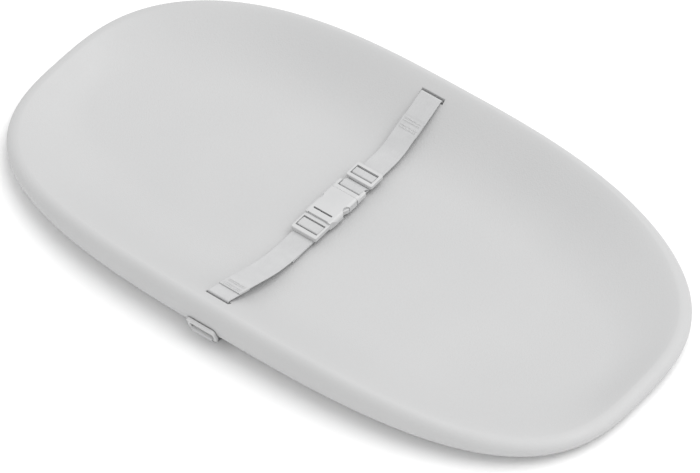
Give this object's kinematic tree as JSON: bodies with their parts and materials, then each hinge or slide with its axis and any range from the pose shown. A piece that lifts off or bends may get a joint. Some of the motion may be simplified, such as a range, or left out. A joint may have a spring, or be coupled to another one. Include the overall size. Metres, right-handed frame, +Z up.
{
  "type": "changing pad",
  "caption": "Dished oval soft-foam baby changing pad with a webbing safety strap, side-release buckle and strap slider.",
  "frame": {"origin": "on the floor under the middle of the pad", "axes": "+X along the pad's length, +Y across it, +Z up"},
  "size_m": [0.8, 0.4274, 0.058],
  "materials": {
    "foam_skin": "matte",
    "foot_rubber": "matte",
    "webbing": "matte",
    "thread": "matte",
    "buckle_plastic": "satin"
  },
  "bodies": {
    "pad": {"pad_body": "foam_skin", "grip_feet": "foot_rubber", "near_anchor_webbing": "webbing", "far_anchor_webbing": "webbing", "near_anchor_stitching": "thread", "far_anchor_stitching": "thread"},
    "strap": {"buckle_socket": "buckle_plastic", "near_strap": "webbing", "near_lap_stitching": "thread", "far_lap_stitching": "thread"},
    "plug": {"buckle_plug": "buckle_plastic", "far_strap": "webbing"},
    "prong_right": {"plug_prong_right": "buckle_plastic"},
    "prong_left": {"plug_prong_left": "buckle_plastic"},
    "slider": {"strap_slider": "buckle_plastic"},
    "near_ring": {"near_outer_ring": "buckle_plastic"},
    "far_ring": {"far_outer_ring": "buckle_plastic"}
  },
  "joints": [
    {"name": "strap_swing", "type": "hinge", "parent": "pad", "child": "strap", "pos_m": [-0.022, 0, 0.051], "axis": [0, 1, 0], "range_deg": [-60, 60], "deforming": ["near_anchor_webbing", "far_anchor_webbing", "near_strap", "near_lap_stitching", "far_lap_stitching"]},
    {"name": "buckle_release", "type": "slide", "parent": "strap", "child": "plug", "axis": [0, 1, 0], "range_m": [0, 0.03], "deforming": ["far_strap", "plug_prong_right", "plug_prong_left"]},
    {"name": "prong_right_squeeze", "type": "hinge", "parent": "plug", "child": "prong_right", "pos_m": [-0.011, 0.026, 0.024], "axis": [0, 0, 1], "range_deg": [-9, 0], "stiffness_Nm_per_rad": 0.02},
    {"name": "prong_left_squeeze", "type": "hinge", "parent": "plug", "child": "prong_left", "pos_m": [-0.033, 0.026, 0.024], "axis": [0, 0, 1], "range_deg": [0, 9], "stiffness_Nm_per_rad": 0.02},
    {"name": "slider_adjust", "type": "slide", "parent": "plug", "child": "slider", "axis": [0, 1, 0], "range_m": [-0.004, 0.01]},
    {"name": "near_ring_flip", "type": "hinge", "parent": "pad", "child": "near_ring", "pos_m": [-0.022, -0.2073, 0.0159], "axis": [1, 0, 0], "range_deg": [0, 75]},
    {"name": "far_ring_flip", "type": "hinge", "parent": "pad", "child": "far_ring", "pos_m": [-0.022, 0.2073, 0.0159], "axis": [1, 0, 0], "range_deg": [-75, 0]}
  ],
  "couplings": [
    {"joint": "prong_left_squeeze", "follows": "prong_right_squeeze", "ratio": -1}
  ]
}
